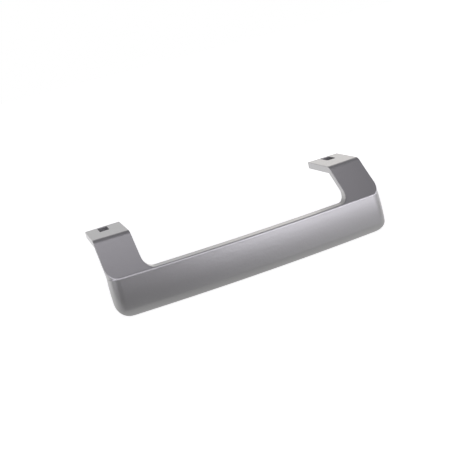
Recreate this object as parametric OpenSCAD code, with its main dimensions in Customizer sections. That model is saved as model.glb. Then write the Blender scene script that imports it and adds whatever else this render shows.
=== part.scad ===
// Refrigerator door handle, moulded in one piece.
// A bowed grip hangs in front of the door from two legs. Each leg bends back into a flat foot
// that lies on the door's edge and is held by a screw through its slot.
// Millimetres. +X runs along the handle, -Y points away from the door and +Z is up.
// The origin is midway between the two slots, on the plane of the feet's undersides.

/* [Overall] */

// Length from end to end
length = 190; // [160:1:240]
// Distance from the line of the slots forward to the rim of the grip, at mid length
front_reach = 52.9; // [48:0.1:60]
// Radius of the bow that the grip, the legs and their bends follow
bow_r = 1000; // [800:10:3000]
// Thickness of the feet and legs
plate_t = 4.8; // [4.4:0.1:5]

/* [Feet] */

// Width of each foot and leg along the handle
foot_w = 23.8; // [20:0.1:30]
// Distance from the line of the slots back to the feet's rear edge
foot_back = 8.4; // [7.5:0.1:12]
// Width of each slot along the handle
slot_w = 6.3; // [4.5:0.1:8]
// Length of each slot from back to front
slot_l = 11.6; // [8:0.1:13]
// Distance from a foot's outer side to the middle of its slot
slot_in = 11.3; // [8:0.1:13]

/* [Legs] */

// Height from the ledge of the grip up to the top of the feet
leg_rise = 21.3; // [16:0.1:25]
// Slope of the legs below the horizontal, in degrees
leg_slope = 42; // [40:0.5:50]
// Inside radius of the bend between a foot and its leg
bend_r = 1.5; // [0.5:0.1:4]
// Radius of the corner where a leg's inner side meets the ledge
window_r = 7; // [3:0.5:10]
// Inset of the legs from the rim and the ends of the grip
rim_inset = 0.4; // [0.2:0.05:0.6]

/* [Grip] */

// Height of the grip from its ledge to its lower edge
grip_h = 26.8; // [22:0.1:34]
// Thickness of the grip from its rear to the crown of its face
grip_d = 8.3; // [8:0.1:11]
// Lean of the grip with its lower edge forward, in degrees
face_lean = 5.5; // [1:0.5:9]
// Radius of the crowned face, seen from the end
face_r = 160; // [100:5:300]
// Radius of the lower front edge
lower_r = 6.5; // [4:0.1:7]

/* [Hidden] */

$fa = 1;
$fs = 0.35;
// Steps in a full turn of the bow and of the face's curve
wide_fn = 720;

// Length by which a cutting shape runs past what it cuts
spare = 3;
// Size of a limiting shape, as a multiple of what it limits
past = 2;
// Depth to which the legs run down into the grip
root_sink = 2;
// Amount by which a rounding curve runs past the faces that it joins
play = 0.02;
// Direction away from the door, in degrees from the handle's length
away = -90;
// Direction from which the section of the right end turns, in degrees from the handle's length
end_from = -135;
// Turn of that section about the rear edge, in degrees
end_sweep = 180;

// Distance from the line of the slots back to the centre of the bow
bow_y = bow_r - front_reach;
// Level of the ledge
ledge_z = plate_t - leg_rise;

// Centre of the face's curve in the section of the grip
face_c = [grip_d - face_r, (lower_r - grip_h) / 2];
// Centre of the lower edge's curve in the same section
lower_c_h = lower_r - grip_h - play;
lower_c_d = face_c[0] + play + sqrt(pow(face_r - lower_r, 2) - pow(lower_c_h - face_c[1], 2));
// Depth of the ledge, where the leaned face meets the level top
lean_t = tan(face_lean);
ledge_a = 1 + lean_t * lean_t;
ledge_b = lean_t * face_c[1] - face_c[0];
ledge_c = face_c * face_c - face_r * face_r;
ledge_d = (sqrt(ledge_b * ledge_b - ledge_a * ledge_c) - ledge_b) / ledge_a / cos(face_lean);
// Distance from the line of the slots forward to the rear of the ledge, at mid length
rear_p = front_reach - ledge_d;

// Axis of the right end's curve, and the turn about the bow's centre from mid length to it
end_x = length / 2 - grip_d - play;
end_turn = asin(end_x / (bow_y + rear_p));
end_p = (bow_y + rear_p) * cos(end_turn) - bow_y;
// Turn to which the grip's section runs on past an end
over_turn = past * end_turn;

// Sides of a foot and the middle of its slot
outer_x = length / 2 - rim_inset;
inner_x = outer_x - foot_w;
slot_x = outer_x - slot_in;

// Front of a leg where it meets the ledge, and the start of its bend
leg_front = front_reach - rim_inset;
bend_out = bend_r + plate_t;
bend_drop = bend_out * (1 - cos(leg_slope));
bend_p = leg_front - (bend_drop + leg_rise * cos(leg_slope)) / sin(leg_slope);
leg_turn = asin((outer_x + spare) / (bow_y - foot_back));

// Sweeps an outline about the bow's centre. The outline's x is the distance forward from the line
// of the slots and its y is the height.
module along_bow(from, to) {
    translate([0, bow_y, 0])
        rotate([0, 0, from + away])
            rotate_extrude(angle = to - from, $fn = wide_fn)
                translate([bow_y, 0])
                    children();
}

// Section of the grip, grown all round by grow: depth forward from its rear face, and height from
// the rear of its ledge
module grip_section(grow = 0) {
    intersection() {
        translate([0, -grip_h - grow])
            square([past * grip_d, grip_h + grow + spare]);
        translate(face_c)
            circle(face_r + grow, $fn = wide_fn);
        union() {
            translate([0, lower_c_h])
                square([past * grip_d, grip_h]);
            translate([lower_c_d, lower_c_h])
                circle(lower_r + grow);
            translate([0, -past * grip_h])
                square([lower_c_d, past * grip_h]);
        }
    }
}

// Right end of the grip: its section turned about the rear edge
module grip_end() {
    translate([0, bow_y, 0])
        rotate([0, 0, end_turn])
            translate([0, -bow_y - rear_p, ledge_z])
                rotate([-face_lean, 0, 0])
                    rotate([0, 0, end_from])
                        rotate_extrude(angle = end_sweep)
                            grip_section(play);
}

// Everything between the axes of the two ends
module between_ends() {
    side = past * bow_r * [sin(end_turn), -cos(end_turn)];
    translate([0, bow_y, ledge_z - past * grip_h])
        linear_extrude(height = past * grip_h + grip_h)
            polygon([[0, 0], [-side[0], side[1]], side]);
}

// Grip with its rounded ends and level ledge
module grip() {
    intersection() {
        along_bow(-over_turn, over_turn)
            translate([rear_p, ledge_z])
                rotate(face_lean)
                    grip_section();
        union() {
            between_ends();
            grip_end();
            mirror([1, 0, 0])
                grip_end();
        }
        translate([-length, -past * front_reach, ledge_z - past * grip_h])
            cube([2 * length, past * front_reach, past * grip_h]);
    }
}

// Region under a bend of radius r about the origin, between a level side and a sloped one
module under_bend(r) {
    wide = past * (front_reach + leg_rise);
    intersection() {
        translate([-wide, r - wide])
            square([2 * wide, wide]);
        rotate(-leg_slope)
            translate([-wide, r - wide])
                square([2 * wide, wide]);
        union() {
            translate([-wide, -wide])
                square([wide, 2 * wide]);
            rotate(-leg_slope)
                translate([0, -wide])
                    square([wide, 2 * wide]);
            circle(r + play);
        }
    }
}

// Side view of a foot, its bend and its leg
module leg_profile() {
    intersection() {
        translate([bend_p, -bend_r])
            difference() {
                under_bend(bend_out);
                under_bend(bend_r);
            }
        translate([-foot_back - spare, ledge_z - root_sink])
            square([foot_back + spare + leg_front, leg_rise + root_sink + spare]);
    }
}

// Front view of the right leg with the rounded corner of the window
module leg_front_view() {
    low_z = ledge_z - root_sink - spare;
    high_z = plate_t + spare;
    corner = [inner_x - window_r, ledge_z + window_r];
    difference() {
        translate([corner[0], low_z])
            square([outer_x - corner[0], high_z - low_z]);
        translate(corner)
            circle(window_r + play);
        translate(corner - [spare, 0])
            square([window_r + spare, high_z + spare - corner[1]]);
    }
}

// Plan of the right leg with the rounded outer corner, measured from the end's axis
module leg_plan() {
    translate([0, -front_reach])
        square([end_x, past * front_reach + front_reach]);
    square([length, past * front_reach]);
    translate([end_x, 0])
        circle(outer_x - end_x + play);
}

// Right leg with its foot
module leg() {
    intersection() {
        along_bow(0, leg_turn)
            leg_profile();
        translate([0, foot_back, 0])
            rotate([90, 0, 0])
                linear_extrude(height = past * front_reach)
                    leg_front_view();
        translate([0, -end_p, ledge_z])
            rotate([-face_lean, 0, 0])
                linear_extrude(height = 2 * past * leg_rise, center = true)
                    leg_plan();
    }
}

// Slot through the right foot
module slot() {
    translate([slot_x - slot_w / 2, -slot_l / 2, -spare])
        cube([slot_w, slot_l, plate_t + 2 * spare]);
}

module handle() {
    color("silver")
        difference() {
            union() {
                grip();
                leg();
                mirror([1, 0, 0])
                    leg();
            }
            slot();
            mirror([1, 0, 0])
                slot();
        }
}

handle();
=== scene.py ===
# %% [markdown]
# A silver refrigerator door handle
#
# The handle is one plastic moulding painted metallic silver: a bowed grip that hangs from two bent
# legs, each with a flat foot that is screwed to the door's edge. The view transform is Standard, so
# that colours show as they are written.

# %% Load the frame
import math

import bpy
import numpy as np
from mathutils import Matrix, Vector


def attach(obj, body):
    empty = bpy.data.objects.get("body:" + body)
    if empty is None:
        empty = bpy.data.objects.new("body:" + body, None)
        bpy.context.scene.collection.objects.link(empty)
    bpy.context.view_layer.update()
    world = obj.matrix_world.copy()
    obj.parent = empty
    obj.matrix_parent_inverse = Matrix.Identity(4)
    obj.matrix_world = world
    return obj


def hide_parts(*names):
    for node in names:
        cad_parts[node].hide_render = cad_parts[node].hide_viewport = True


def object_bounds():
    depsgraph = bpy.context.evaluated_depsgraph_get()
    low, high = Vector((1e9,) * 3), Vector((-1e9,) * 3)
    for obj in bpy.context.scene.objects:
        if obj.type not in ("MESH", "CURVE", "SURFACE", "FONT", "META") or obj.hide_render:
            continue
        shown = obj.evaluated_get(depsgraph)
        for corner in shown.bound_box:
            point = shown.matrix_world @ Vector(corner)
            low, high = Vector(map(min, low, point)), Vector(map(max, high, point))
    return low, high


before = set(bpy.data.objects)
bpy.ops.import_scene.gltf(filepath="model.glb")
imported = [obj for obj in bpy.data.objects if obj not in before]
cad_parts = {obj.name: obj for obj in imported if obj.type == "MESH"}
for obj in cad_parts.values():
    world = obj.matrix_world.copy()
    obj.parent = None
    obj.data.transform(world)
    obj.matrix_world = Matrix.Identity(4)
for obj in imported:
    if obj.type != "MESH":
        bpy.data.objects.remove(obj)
cad_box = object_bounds()
bpy.context.scene.view_settings.view_transform = "Standard"
print("nodes:", list(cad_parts), "box:", cad_box)

# %% [markdown]
# Camera
#
# The camera stands in front of the handle, a little to its left and above it, and is rolled so that
# the handle climbs to the right. It could be turned by hand until the view looks right. Here its
# place was worked out from the corners of the two feet, which lie in one plane with parallel edges,
# and then from the whole outline, so it is given by its place and two of its axes.

# %% Camera
FRAME_PX = 470
FOCAL_PX = 782.52
SENSOR_MM = 36.0
CLIP_START = 0.01
CAMERA_AT = Vector((-0.13938, -0.50553, 0.11604))
CAMERA_RIGHT = Vector((0.91624, -0.32438, -0.23511))
CAMERA_UP = Vector((0.30378, 0.17993, 0.9356))


def make_camera():
    data = bpy.data.cameras.new("camera")
    data.sensor_width = SENSOR_MM
    data.lens = SENSOR_MM * FOCAL_PX / FRAME_PX
    data.clip_start = CLIP_START
    camera = bpy.data.objects.new("camera", data)
    back = CAMERA_RIGHT.cross(CAMERA_UP)
    axes = Matrix((CAMERA_RIGHT, CAMERA_UP, back)).transposed()
    camera.matrix_world = Matrix.Translation(CAMERA_AT) @ axes.to_4x4()
    bpy.context.collection.objects.link(camera)
    bpy.context.scene.camera = camera
    return camera


print("lens:", round(make_camera().data.lens, 2), "mm")

# %% [markdown]
# The moulding's form
#
# The exact solid has sharp edges, and a moulding has none: its rim, its feet and its slots are all
# slightly rounded, and those roundings carry the highlights. A Bevel modifier could round the solid,
# but it breaks where the leg's front runs out into the rim at a shallow angle. So the form is
# written as a field: a function that is negative inside the handle, zero on its skin and positive
# outside. The sizes repeat the solid's own.

# %% Sizes in millimetres
MM = 0.001
LENGTH = 190.0
FRONT_REACH = 52.9
BOW_R = 1000.0
PLATE_T = 4.8
FOOT_W, FOOT_BACK = 23.8, 8.4
SLOT_W, SLOT_L, SLOT_IN = 6.3, 11.6, 11.3
LEG_RISE = 21.3
LEG_SLOPE, FACE_LEAN = math.radians(42.0), math.radians(5.5)
BEND_R = 1.5
WINDOW_R = 7.0
RIM_INSET = 0.4
GRIP_H, GRIP_D = 26.8, 8.3
FACE_R, LOWER_R = 160.0, 6.5

SLOPE_COS, SLOPE_SIN = math.cos(LEG_SLOPE), math.sin(LEG_SLOPE)
LEAN_COS, LEAN_SIN = math.cos(FACE_LEAN), math.sin(FACE_LEAN)
BOW_Y = BOW_R - FRONT_REACH
LEDGE_Z = PLATE_T - LEG_RISE
FACE_D, FACE_H = GRIP_D - FACE_R, (LOWER_R - GRIP_H) / 2
OUTER_X = LENGTH / 2 - RIM_INSET
INNER_X = OUTER_X - FOOT_W
SLOT_X = OUTER_X - SLOT_IN
BEND_OUT = BEND_R + PLATE_T
BEND_DROP = BEND_OUT * (1 - SLOPE_COS) + LEG_RISE * SLOPE_COS
BEND_P = FRONT_REACH - RIM_INSET - BEND_DROP / SLOPE_SIN
print("ledge at", LEDGE_Z, "bend at", round(BEND_P, 2), "slots at", round(SLOT_X, 2))

# %% [markdown]
# The ledge is the level top of the grip. Its depth follows from where the leaned, crowned face
# reaches that level, which is one root of a quadratic. The ends of the grip turn about a line at the
# rear of the ledge.

# %% Place of the ledge and the ends
tilt = LEAN_SIN / LEAN_COS
square = 1 + tilt * tilt
half = tilt * FACE_H - FACE_D
rest = FACE_D * FACE_D + FACE_H * FACE_H - FACE_R * FACE_R
LEDGE_D = (math.sqrt(half * half - square * rest) - half) / square / LEAN_COS
REAR_P = FRONT_REACH - LEDGE_D
END_X = LENGTH / 2 - GRIP_D
END_SIN = END_X / (BOW_Y + REAR_P)
END_COS = math.sqrt(1 - END_SIN * END_SIN)
END_P = (BOW_Y + REAR_P) * END_COS - BOW_Y
print("ledge", round(LEDGE_D, 2), "mm deep, ends turn about", round(END_X, 2), round(END_P, 2))

# %% [markdown]
# Rounded joins
#
# Two fields are joined by the larger of their values where the solid lies in both, and by the
# smaller where it lies in either. That leaves a sharp edge. Near the edge, the distance to an arc
# of the wanted radius takes the place of the larger value. The arc has to touch both faces, so the
# helper is told the cosine of the angle by which the skin turns there.

# %% Joining two fields


def both(a, b, radius=0.0, cosine=0.0):
    u, v = a + radius, b + radius
    on_arc = (u > cosine * v) & (v > cosine * u)
    reach = np.maximum(u * u + v * v - 2 * cosine * u * v, 0.0) / (1 - cosine * cosine)
    return np.where(on_arc, np.sqrt(reach) - radius, np.maximum(a, b))


def either(a, b, radius=0.0, cosine=0.0):
    return -both(-a, -b, radius, cosine)


drawn_in = float(both(np.array(0.0), np.array(0.0), 1.0))
print("a corner of radius 1 is drawn in by", round(drawn_in, 3))

# %% [markdown]
# Grip
#
# The grip is the part that the hand pulls: a crowned, leaned section swept along the bow and turned
# about its own rear edge at each end. A curve with a bevel could sweep it, but not turn its ends. In
# the field it is one depth measured from the rear: straight back between the ends, and round the
# end's axis past them. The rounding of the lower edge grows wider round the ends, and seen from
# the front the lower corners have a wide rounding of their own that eases into the face. The
# values that end in TURN are the cosines that the joins ask for.

# %% Grip field
RIM_R, REAR_R = 0.7, 0.9
RIM_TURN = -0.156
LOWER_TURN = 0.063
END_LOWER_R = 11.0
CORNER_R, CORNER_OUT = 12.5, 0.6
CORNER_EASE, CORNER_TURN = 5.0, 0.9
WIDEN_FROM, WIDEN_FULL = math.radians(60.0), math.radians(95.0)


def bow_depth(x, y, z):
    forward = np.hypot(x, y - BOW_Y) - BOW_Y - REAR_P
    return LEAN_COS * forward + LEAN_SIN * (z - LEDGE_Z), forward


def lower_radius(along, ahead):
    turned = np.arctan2(along, ahead) - WIDEN_FROM
    share = np.clip(turned / (WIDEN_FULL - WIDEN_FROM), 0.0, 1.0)
    return LOWER_R + (END_LOWER_R - LOWER_R) * share * share * (3 - 2 * share)


def grip_field(x, y, z):
    rise = z - LEDGE_Z
    depth, forward = bow_depth(x, y, z)
    along = x * END_COS + (y - BOW_Y) * END_SIN
    ahead = x * END_SIN - (y - BOW_Y) * END_COS - BOW_Y - REAR_P
    past = along > 0
    leaned = LEAN_COS * ahead + LEAN_SIN * rise
    turned = np.hypot(along, leaned)
    out = np.where(past, turned, depth)
    height = LEAN_COS * rise - LEAN_SIN * np.where(past, ahead, forward)
    face = np.hypot(out - FACE_D, height - FACE_H) - FACE_R
    front = both(face, -GRIP_H - height, lower_radius(along, leaned), LOWER_TURN)
    corner = both(along - GRIP_D - CORNER_OUT, -GRIP_H - height, CORNER_R)
    front = both(front, corner, CORNER_EASE, CORNER_TURN)
    return both(both(front, rise, RIM_R, RIM_TURN), -depth, REAR_R)


heart_y, heart_z = LEDGE_D / 2 - FRONT_REACH, LEDGE_Z - GRIP_H / 2
heart = grip_field(np.array(0.0), np.array(heart_y), np.array(heart_z))
print("field inside the grip:", round(float(heart), 2), "mm")

# %% [markdown]
# Legs and feet
#
# A leg is a plate that bends from the level foot into the slope. A Solidify modifier on a bent strip
# could make it, but its root has to run into the grip without a seam. So it is a field too: its
# front follows the bow and is very slightly hollow, its inner side runs into the ledge in a wide
# curve, and its outer corner is turned about the same axis as the end of the grip.

# %% Leg field
EDGE_R, FOOT_CORNER_R = 0.4, 0.3
ROOT_SINK = 2.0
HOLLOW = 0.3
LEG_RUN = (FRONT_REACH - BEND_P) * SLOPE_COS - (LEDGE_Z + BEND_R) * SLOPE_SIN


def outer_side(x, y, z, depth):
    ahead = -LEAN_COS * (y + END_P) + LEAN_SIN * (z - LEDGE_Z)
    turned = np.hypot(x - END_X, ahead) - (OUTER_X - END_X)
    front = np.where(x > END_X, turned, depth - (OUTER_X - END_X))
    return np.where(ahead > 0, front, x - OUTER_X)


def leg_field(x, y, z):
    depth, forward = bow_depth(x, y, z)
    out = (forward + REAR_P - BEND_P) * SLOPE_SIN + (z + BEND_R) * SLOPE_COS
    down = (forward + REAR_P - BEND_P) * SLOPE_COS - (z + BEND_R) * SLOPE_SIN
    share = np.clip(down / LEG_RUN, 0.0, 1.0)
    hollow = 4 * HOLLOW * share * (1 - share)
    top = both(z - PLATE_T, out + hollow - BEND_OUT, BEND_OUT, SLOPE_COS)
    under = both(z, out - BEND_R, BEND_R, SLOPE_COS)
    inner = either(INNER_X - x, z - LEDGE_Z, WINDOW_R)
    sides = both(outer_side(x, y, z, depth), inner)
    plan = both(sides, y - FOOT_BACK, FOOT_CORNER_R)
    plate = both(both(top, -under), plan, EDGE_R)
    return both(plate, LEDGE_Z - ROOT_SINK - z)


toe = leg_field(np.array(SLOT_X), np.array(0.0), np.array(PLATE_T / 2))
print("field inside a foot:", round(float(toe), 2), "mm")

# %% [markdown]
# Slots and the whole
#
# Each foot has a slot for its screw. A Boolean modifier would cut it with a sharp edge. In the field
# the slot is taken away with a small rounding, and the legs join the grip with a small fillet. The
# handle is alike on both sides, so the field looks only at the distance from its middle.

# %% Whole field
CREASE_R = 0.35
SLOT_CORNER_R, SLOT_EDGE_R = 0.5, 0.3


def slot_field(x, y):
    return both(np.abs(x - SLOT_X) - SLOT_W / 2, np.abs(y) - SLOT_L / 2, SLOT_CORNER_R)


def handle_field(x, y, z):
    x = np.abs(x)
    solid = either(grip_field(x, y, z), leg_field(x, y, z), CREASE_R)
    return both(solid, -slot_field(x, y), SLOT_EDGE_R)


hole = handle_field(np.array(SLOT_X), np.array(0.0), np.array(PLATE_T / 2))
print("field in a slot:", round(float(hole), 2), "mm")

# %% [markdown]
# Grid
#
# A mesh of the skin starts from the field's values on a grid. The grid is fine at the legs, where
# the form is small and turns quickly, and wide along the plain middle of the grip, which is almost
# straight. That keeps the mesh light without losing an edge.

# %% Grid
CELL = 0.46
MIDDLE_X, MIDDLE_LINES = 60.0, 28
MARGIN = 1.3


def grid_lines():
    low, high = (np.array(corner) / MM for corner in cad_box)
    end_x = np.arange(MIDDLE_X, high[0] + MARGIN, CELL)
    half_x = np.concatenate([np.linspace(0.0, MIDDLE_X, MIDDLE_LINES)[:-1], end_x])
    y = np.arange(low[1] - MARGIN, high[1] + MARGIN, CELL)
    z = np.arange(low[2] - MARGIN, high[2] + MARGIN, CELL)
    return half_x, y, z


def sample_field(half_x, y, z):
    gx, gy, gz = np.meshgrid(half_x, y, z, indexing="ij")
    values = handle_field(gx, gy, gz)
    return np.concatenate([values[:0:-1], values])


half_x, grid_y, grid_z = grid_lines()
grid_x = np.concatenate([-half_x[:0:-1], half_x])
values = sample_field(half_x, grid_y, grid_z)
print("grid:", values.shape, "share inside:", round(float((values < 0).mean()), 4))

# %% [markdown]
# Net
#
# Remesh or marching cubes could skin the field. Surface nets give cleaner quads: each grid cell that
# the skin crosses gets one point, at the mean of the places where the cell's edges cross it, and
# each grid line that crosses the skin gets one face of four points.

# %% Surface nets
CORNERS = [(i, j, k) for i in (0, 1) for j in (0, 1) for k in (0, 1)]
EDGES = [(a, b) for a in CORNERS for b in CORNERS if sum(b) - sum(a) == 1
         and all(q >= p for p, q in zip(a, b))]


def net_points(values, lines):
    inside = values < 0
    shape = tuple(n - 1 for n in values.shape)
    count = np.zeros(shape, int)
    for i, j, k in CORNERS:
        count += inside[i:i + shape[0], j:j + shape[1], k:k + shape[2]]
    cells = np.argwhere((count > 0) & (count < len(CORNERS)))
    total = np.zeros(cells.shape)
    hits = np.zeros(len(cells))
    for a, b in EDGES:
        at_a, at_b = cells + a, cells + b
        va, vb = values[tuple(at_a.T)], values[tuple(at_b.T)]
        crossed = (va < 0) != (vb < 0)
        share = np.where(crossed, va / np.where(crossed, va - vb, 1.0), 0.0)[:, None]
        pa = np.stack([line[at_a[:, n]] for n, line in enumerate(lines)], 1)
        pb = np.stack([line[at_b[:, n]] for n, line in enumerate(lines)], 1)
        total += np.where(crossed[:, None], pa + share * (pb - pa), 0.0)
        hits += crossed
    number = np.full(shape, -1)
    number[tuple(cells.T)] = np.arange(len(cells))
    return total / hits[:, None], number


def net_faces(values, number):
    inside = values < 0
    faces = []
    for axis in range(3):
        one, two = (axis + 1) % 3, (axis + 2) % 3
        ahead = np.moveaxis(inside, (axis, one, two), (0, 1, 2))
        cells = np.moveaxis(number, (axis, one, two), (0, 1, 2))
        near, far = ahead[:-1, 1:-1, 1:-1], ahead[1:, 1:-1, 1:-1]
        ring = [cells[:, :-1, :-1], cells[:, 1:, :-1], cells[:, 1:, 1:], cells[:, :-1, 1:]]
        for crossed, turn in ((near & ~far, 1), (far & ~near, -1)):
            faces.append(np.stack([part[crossed] for part in ring[::turn]], 1))
    return np.concatenate(faces)


points, number = net_points(values, (grid_x, grid_y, grid_z))
faces = net_faces(values, number)
print("net:", len(points), "points,", len(faces), "faces")

# %% [markdown]
# Skin
#
# The net's points lie close to the skin, and a satin finish shows the least unevenness. Smoothing
# would draw in the edges, so each point is moved along the field's slope until it lies on the skin.
# The same slope gives exact normals.

# %% Move the points onto the skin
STEP = 0.01
ROUNDS = 5
LONGEST_MOVE = 0.25
LEAST_SLOPE = 0.1
TINY = 1e-6


def slope(at):
    rates = []
    for axis in range(3):
        shift = np.zeros(3)
        shift[axis] = STEP
        rates.append((handle_field(*(at + shift).T) - handle_field(*(at - shift).T)) / (2 * STEP))
    return np.stack(rates, 1)


def settle(at):
    for _ in range(ROUNDS):
        rate = slope(at)
        steep = np.maximum((rate * rate).sum(1), LEAST_SLOPE)
        move = -rate * (handle_field(*at.T) / steep)[:, None]
        size = np.linalg.norm(move, axis=1)[:, None]
        at = at + move * np.minimum(1.0, LONGEST_MOVE / np.maximum(size, TINY))
    rate = slope(at)
    return at, rate / np.maximum(np.linalg.norm(rate, axis=1), TINY)[:, None]


points, normals = settle(points)
print("furthest from the skin:", round(float(np.abs(handle_field(*points.T)).max()), 4), "mm")

# %% [markdown]
# The piece
#
# The mesh stands for the exact solid in the pictures, and the solid stays in the frame for
# collision. It rides on the frame's only body and keeps to the solid's box. Custom normals are
# better here than normals averaged from the faces, because they follow the true curve.

# %% The piece


def make_handle(points, faces, normals):
    low, high = (np.array(corner) for corner in cad_box)
    mesh = bpy.data.meshes.new("painted_handle")
    mesh.from_pydata(np.clip(points * MM, low, high).tolist(), [], faces.tolist())
    mesh.polygons.foreach_set("use_smooth", np.ones(len(faces), bool))
    mesh.normals_split_custom_set_from_vertices(normals.tolist())
    mesh.update()
    piece = bpy.data.objects.new("painted_handle", mesh)
    bpy.context.collection.objects.link(piece)
    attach(piece, "root")
    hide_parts("handle")
    return piece


handle = make_handle(points, faces, normals)
print("handle:", len(handle.data.polygons), "faces")

# %% [markdown]
# Finishes
#
# Materials, the floor and the room are all trees of nodes, and many of those nodes only do a sum or
# fade from one level to another. Two helpers place such a node and link it, and a third gives a
# place's X, Y and Z. A term of a sum may be a number or another node's output.

# %% Node helpers


def calc(tree, operation, *terms):
    node = tree.nodes.new("ShaderNodeMath")
    node.operation = operation
    for socket, term in zip(node.inputs, terms):
        if isinstance(term, bpy.types.NodeSocket):
            tree.links.new(term, socket)
        else:
            socket.default_value = term
    return node.outputs[0]


def fade(tree, value, start, end, low=0.0, high=1.0):
    node = tree.nodes.new("ShaderNodeMapRange")
    node.interpolation_type = "SMOOTHSTEP"
    for name, number in (
        ("From Min", start),
        ("From Max", end),
        ("To Min", low),
        ("To Max", high),
    ):
        node.inputs[name].default_value = number
    tree.links.new(value, node.inputs["Value"])
    return node.outputs["Result"]


def place_parts(tree, kind):
    place = tree.nodes.new("ShaderNodeTexCoord")
    parts = tree.nodes.new("ShaderNodeSeparateXYZ")
    tree.links.new(place.outputs[kind], parts.inputs[0])
    return parts.outputs


print("helpers:", calc.__name__, fade.__name__, place_parts.__name__)

# %% [markdown]
# Flakes and peel
#
# Metallic paint holds fine metal flakes that lie at slightly different angles, so that its colour
# and gloss waver from point to point. A sprayed coat also dries with a faint, wider waviness called
# orange peel, and moulded plastic has a grain much like it. An image could carry this, but noise
# needs no file and no unwrapping. Both finishes use it, so it is a node group with its own inputs.

# %% Flake group
FLAKE_DETAIL, PEEL_DETAIL = 3.0, 2.0
NOISE_MIDDLE = 0.5


def flake_sockets(group):
    for name, kind, value in (
        ("Color", "NodeSocketColor", (0.5, 0.5, 0.5, 1.0)),
        ("Roughness", "NodeSocketFloat", 0.4),
        ("Flake Scale", "NodeSocketFloat", 3000.0),
        ("Peel Scale", "NodeSocketFloat", 500.0),
        ("Amount", "NodeSocketFloat", 0.05),
    ):
        group.interface.new_socket(name, in_out="INPUT", socket_type=kind).default_value = value
    for name, kind in (
        ("Color", "NodeSocketColor"),
        ("Roughness", "NodeSocketFloat"),
        ("Height", "NodeSocketFloat"),
    ):
        group.interface.new_socket(name, in_out="OUTPUT", socket_type=kind)


def noise(tree, scale, detail):
    place = tree.nodes.new("ShaderNodeTexCoord")
    node = tree.nodes.new("ShaderNodeTexNoise")
    node.inputs["Detail"].default_value = detail
    tree.links.new(place.outputs["Object"], node.inputs["Vector"])
    tree.links.new(scale, node.inputs["Scale"])
    return node.outputs["Fac"]


def make_flake_group():
    group = bpy.data.node_groups.new("paint_flakes", "ShaderNodeTree")
    flake_sockets(group)
    given = group.nodes.new("NodeGroupInput").outputs
    out = group.nodes.new("NodeGroupOutput").inputs
    flake = noise(group, given["Flake Scale"], FLAKE_DETAIL)
    waver = calc(group, "SUBTRACT", flake, NOISE_MIDDLE)
    swing = calc(group, "MULTIPLY", waver, given["Amount"])
    tint = group.nodes.new("ShaderNodeVectorMath")
    tint.operation = "SCALE"
    group.links.new(given["Color"], tint.inputs[0])
    group.links.new(calc(group, "ADD", swing, 1.0), tint.inputs["Scale"])
    group.links.new(tint.outputs["Vector"], out["Color"])
    group.links.new(calc(group, "ADD", given["Roughness"], swing), out["Roughness"])
    group.links.new(noise(group, given["Peel Scale"], PEEL_DETAIL), out["Height"])
    return group


flakes = make_flake_group()
print("flake group:", [s.name for s in flakes.interface.items_tree])

# %% [markdown]
# Silver paint and painted slot shade
#
# The paint is satin: it shows the lights as soft, wide bands. A mix of a glossy and a diffuse shader
# could make it, but one Principled shader with a high Metallic does the same and exports well. The
# slot walls take a dark grey, non-metallic finish instead: painted shade for the deep, narrow slots.
# The two finishes share one helper, which places the flake group and turns its height into a fine
# bump.

# %% Two finishes
PEEL_DEPTH = 0.00004
FINISHES = {
    # name: colour, metallic, roughness, flake scale, peel scale, amount
    "silver_paint": ((0.5, 0.497, 0.495), 0.9, 0.34, 4000.0, 600.0, 0.08),
    # painted shade: the slot walls' dark grey stands for the shade deep in the slots
    "painted_slot_shade": ((0.22, 0.217, 0.22), 0.0, 0.6, 2500.0, 1500.0, 0.3),
}


def make_finish(name, colour, metallic, roughness, flake_scale, peel_scale, amount):
    material = bpy.data.materials.new(name)
    material.use_nodes = True
    tree = material.node_tree
    shader = tree.nodes["Principled BSDF"]
    shader.inputs["Metallic"].default_value = metallic
    flake = tree.nodes.new("ShaderNodeGroup")
    flake.node_tree = flakes
    flake.inputs["Color"].default_value = (*colour, 1.0)
    flake.inputs["Roughness"].default_value = roughness
    flake.inputs["Flake Scale"].default_value = flake_scale
    flake.inputs["Peel Scale"].default_value = peel_scale
    flake.inputs["Amount"].default_value = amount
    bump = tree.nodes.new("ShaderNodeBump")
    bump.inputs["Distance"].default_value = PEEL_DEPTH
    tree.links.new(flake.outputs["Color"], shader.inputs["Base Color"])
    tree.links.new(flake.outputs["Roughness"], shader.inputs["Roughness"])
    tree.links.new(flake.outputs["Height"], bump.inputs["Height"])
    tree.links.new(bump.outputs["Normal"], shader.inputs["Normal"])
    return material


for name, settings in FINISHES.items():
    handle.data.materials.append(make_finish(name, *settings))
print("finishes:", [m.name for m in handle.data.materials])

# %% [markdown]
# Walls of the slots
#
# Which faces take the painted shade could be painted as a mask. The slot's own field already says
# how far a face is from the slot's wall, so the faces on the wall, short of its rounded edges, take
# the second material, the painted shade of the slots.

# %% Painted shade on the slot walls
WALL_NEAR = 0.12


def slot_wall_faces(points, faces):
    middle = points[faces].mean(1)
    x, y, z = np.abs(middle[:, 0]), middle[:, 1], middle[:, 2]
    near_wall = slot_field(x, y) < WALL_NEAR
    return near_wall & (z > SLOT_EDGE_R / 2) & (z < PLATE_T - SLOT_EDGE_R / 2)


# faces on the slot walls, which take the painted shade (the second material)
slot_shade_faces = slot_wall_faces(points, faces)
handle.data.polygons.foreach_set("material_index", slot_shade_faces.astype(np.int32))
print("painted faces:", int((~slot_shade_faces).sum()), "bare faces in the slots:", int(slot_shade_faces.sum()))

# %% [markdown]
# Floor
#
# The handle stands on a white floor, as on a studio table. A bright lamp could make the floor white,
# but it would wash out the handle too. So the floor glows white for the camera and in reflections
# only, and lights nothing. Near the handle it glows a little less and takes the handle's shadow.

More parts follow.
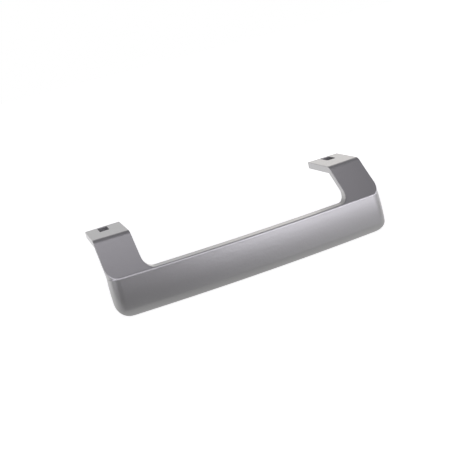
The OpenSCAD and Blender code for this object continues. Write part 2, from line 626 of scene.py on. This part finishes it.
# %% Floor
FLOOR_SIZE = 8.0
FLOOR_GREY = 0.5
GLOW_NEAR, GLOW_FAR = 0.8, 1.0
FLOOR_NEAR, FLOOR_FAR = 0.12, 0.35


def flat_sheet(name, low, high, z):
    mesh = bpy.data.meshes.new(name)
    (left, front), (right, back) = low, high
    corners = [(left, front, z), (right, front, z), (right, back, z), (left, back, z)]
    mesh.from_pydata(corners, [], [(0, 1, 2, 3)])
    sheet = bpy.data.objects.new(name, mesh)
    bpy.context.collection.objects.link(sheet)
    material = bpy.data.materials.new(name)
    material.use_nodes = True
    material.node_tree.nodes.clear()
    mesh.materials.append(material)
    return sheet, material.node_tree


def grey_diffuse(tree, grey):
    diffuse = tree.nodes.new("ShaderNodeBsdfDiffuse")
    diffuse.inputs["Color"].default_value = (grey, grey, grey, 1.0)
    return diffuse.outputs[0]


def light_paths(tree):
    path = tree.nodes.new("ShaderNodeLightPath").outputs
    mirrored = calc(tree, "MAXIMUM", path["Is Glossy Ray"], path["Is Transmission Ray"])
    return path["Is Camera Ray"], mirrored


def make_floor(z):
    half = FLOOR_SIZE / 2
    floor, tree = flat_sheet("floor", (-half, -half), (half, half), z)
    direct, mirrored = light_paths(tree)
    seen = calc(tree, "MAXIMUM", direct, mirrored)
    distance = tree.nodes.new("ShaderNodeVectorMath")
    distance.operation = "LENGTH"
    place = tree.nodes.new("ShaderNodeTexCoord")
    tree.links.new(place.outputs["Object"], distance.inputs[0])
    away = distance.outputs["Value"]
    level = fade(tree, away, FLOOR_NEAR, FLOOR_FAR, GLOW_NEAR, GLOW_FAR)
    glow = tree.nodes.new("ShaderNodeEmission")
    tree.links.new(calc(tree, "MULTIPLY", seen, level), glow.inputs["Strength"])
    sum_of = tree.nodes.new("ShaderNodeAddShader")
    tree.links.new(grey_diffuse(tree, FLOOR_GREY), sum_of.inputs[0])
    tree.links.new(glow.outputs[0], sum_of.inputs[1])
    out = tree.nodes.new("ShaderNodeOutputMaterial")
    tree.links.new(sum_of.outputs[0], out.inputs["Surface"])
    return floor


floor_z = cad_box[0][2]
print(make_floor(floor_z).name, "at:", round(floor_z, 4), "m")

# %% [markdown]
# Card with a painted reflection
#
# The lower half of the grip mirrors what lies in front of it on the table. There it shows a mid
# grey, not the white floor: a painted reflection, as when a photographer lays a grey card in front
# to give polished metal a darker edge. A darker floor would do it too, but the floor has to stay
# white. The card is a glowing sheet that shows only in reflections; it glows faintly, a little more
# to the right, and fades to white under the handle. It neither lights nor shades anything else.

# %% Reflection card
CARD_FRONT, CARD_BACK, CARD_HALF, CARD_LIFT = -1.5, 0.01, 1.3, 0.0003
# glow levels of the painted reflection: at the left, at the right, and under the handle
CARD_LEFT, CARD_RIGHT, CARD_BEHIND = 0.155, 0.31, 0.9
LEFT_X, RIGHT_X = -0.08, 0.1
BESIDE_Y, BEHIND_Y = -0.092, -0.01


def make_reflection_card(z):
    low, high = (-CARD_HALF, CARD_FRONT), (CARD_HALF, CARD_BACK)
    reflection_card, tree = flat_sheet("reflection_card", low, high, z + CARD_LIFT)
    place = place_parts(tree, "Object")
    ahead = fade(tree, place["X"], LEFT_X, RIGHT_X, CARD_LEFT, CARD_RIGHT)
    behind = fade(tree, place["Y"], BESIDE_Y, BEHIND_Y)
    in_front = calc(tree, "MULTIPLY", ahead, calc(tree, "SUBTRACT", 1.0, behind))
    level = calc(tree, "ADD", in_front, calc(tree, "MULTIPLY", behind, CARD_BEHIND))
    glow = tree.nodes.new("ShaderNodeEmission")
    tree.links.new(level, glow.inputs["Strength"])
    out = tree.nodes.new("ShaderNodeOutputMaterial")
    tree.links.new(glow.outputs[0], out.inputs["Surface"])
    reflection_card.visible_camera = False
    reflection_card.visible_diffuse = False
    reflection_card.visible_shadow = False
    reflection_card.visible_transmission = False
    return reflection_card


print(make_reflection_card(floor_z).name, "from", CARD_FRONT, "to", CARD_BACK, "m")

# %% [markdown]
# Room
#
# The room gives an even, low light from all sides. Behind the handle stands a white backdrop, which
# the feet's tops mirror. A sheet could stand there, but it would hide the handle in views from
# behind, so the backdrop is part of the world: a low white band behind, for mirrored rays only. The
# camera sees plain white all round.

# %% World
ROOM_LEVEL = 0.23
ROOM_TINT, WHITE = (0.96, 0.93, 1.0, 1.0), (1.0, 1.0, 1.0, 1.0)
BACK_LEVEL, SEEN_LEVEL = 1.0, 1.0
BAND_TOP, BAND_FULL = 0.65, 0.3
BEHIND_FROM, BEHIND_FULL = 0.2, 0.8


def backdrop(tree, level, tint=WHITE):
    node = tree.nodes.new("ShaderNodeBackground")
    node.inputs["Color"].default_value = tint
    node.inputs["Strength"].default_value = level
    return node.outputs[0]


def choose(tree, share, first, second):
    mix = tree.nodes.new("ShaderNodeMixShader")
    for socket, source in zip(mix.inputs, (share, first, second)):
        tree.links.new(source, socket)
    return mix.outputs[0]


def make_world():
    world = bpy.data.worlds.new("studio")
    bpy.context.scene.world = world
    world.use_nodes = True
    tree = world.node_tree
    tree.nodes.clear()
    place = place_parts(tree, "Generated")
    low = fade(tree, place["Z"], BAND_TOP, BAND_FULL)
    behind = fade(tree, place["Y"], BEHIND_FROM, BEHIND_FULL)
    direct, mirrored = light_paths(tree)
    band = calc(tree, "MULTIPLY", calc(tree, "MULTIPLY", low, behind), mirrored)
    room = choose(tree, band, backdrop(tree, ROOM_LEVEL, ROOM_TINT), backdrop(tree, BACK_LEVEL))
    shown = choose(tree, direct, room, backdrop(tree, SEEN_LEVEL))
    tree.links.new(shown, tree.nodes.new("ShaderNodeOutputWorld").inputs["Surface"])
    return world


print("world:", make_world().name, "room level:", ROOM_LEVEL)

# %% [markdown]
# Lamps
#
# Satin paint is drawn by what it mirrors: a band of light down a face is the reflection of a soft
# lamp. Point lamps would leave small hot spots, so large softboxes stand around the handle, low ones
# for the upright face and higher ones for the sloping legs. Each is given by its place and by how
# bright its surface looks, and its power follows from its size. Their light is slightly cool, and
# only the one behind is warm.

# %% Lamps
LAMP_DISTANCE = 1.4
COOL, WARM = (0.94, 0.92, 1.0), (1.0, 0.93, 0.86)
SOFTBOXES = {
    # name: degrees right of the front, degrees up, width, height, brightness of the surface, tint
    "front_right": (33.0, 8.0, 1.25, 0.45, 2.62, COOL),
    "right": (72.0, 8.0, 0.55, 0.45, 2.4, COOL),
    "right_side": (108.0, 8.0, 0.9, 0.5, 0.6, COOL),
    "front": (0.0, 32.0, 1.9, 0.6, 1.35, COOL),
    "left": (-62.0, 32.0, 0.9, 0.6, 1.63, COOL),
    "left_low": (-66.0, 6.0, 0.6, 0.5, 1.1, COOL),
    "overhead": (-5.0, 68.0, 1.6, 0.5, 0.75, COOL),
    "back_right": (150.0, 16.0, 0.8, 0.5, 0.45, WARM),
}


def make_softbox(name, turn, lift, width, height, brightness, tint):
    data = bpy.data.lights.new(name, "AREA")
    data.shape = "RECTANGLE"
    data.size, data.size_y = width, height
    data.color = tint
    data.energy = brightness * math.pi * width * height
    turn, lift = math.radians(turn), math.radians(lift)
    level = math.cos(lift)
    at = Vector((math.sin(turn) * level, -math.cos(turn) * level, math.sin(lift)))
    lamp = bpy.data.objects.new(name, data)
    lamp.visible_camera = False
    lamp.location = at * LAMP_DISTANCE
    lamp.rotation_euler = (-at).to_track_quat("-Z", "Y").to_euler()
    bpy.context.collection.objects.link(lamp)
    return lamp


lamps = [make_softbox(name, *settings) for name, settings in SOFTBOXES.items()]
print("lamps:", [lamp.name for lamp in lamps])
